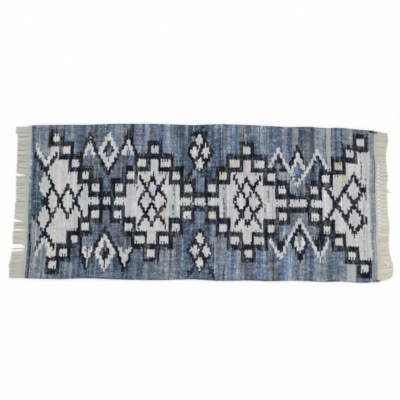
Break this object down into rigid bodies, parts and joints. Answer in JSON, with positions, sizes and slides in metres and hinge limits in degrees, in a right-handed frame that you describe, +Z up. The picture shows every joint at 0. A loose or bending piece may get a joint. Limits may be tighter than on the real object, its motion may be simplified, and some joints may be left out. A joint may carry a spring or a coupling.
{
  "type": "rag rug",
  "caption": "Flat hand-woven denim and cotton rag rug with stepped diamond medallions and a loose cotton fringe at each end.",
  "frame": {"origin": "middle of the underside", "axes": "+X along the rug's length, +Y across its width towards the far selvedge, +Z up out of the face"},
  "size_m": [1.5426, 0.6378, 0.0065],
  "materials": {
    "denim_weave": "flat-woven denim and cotton cloth strips, matt, slightly frayed",
    "cotton_fringe": "unbleached plied cotton string, matt"
  },
  "bodies": {
    "root": {"rug_field": "denim_weave", "fringe_left": "cotton_fringe", "fringe_right": "cotton_fringe"}
  },
  "joints": []
}
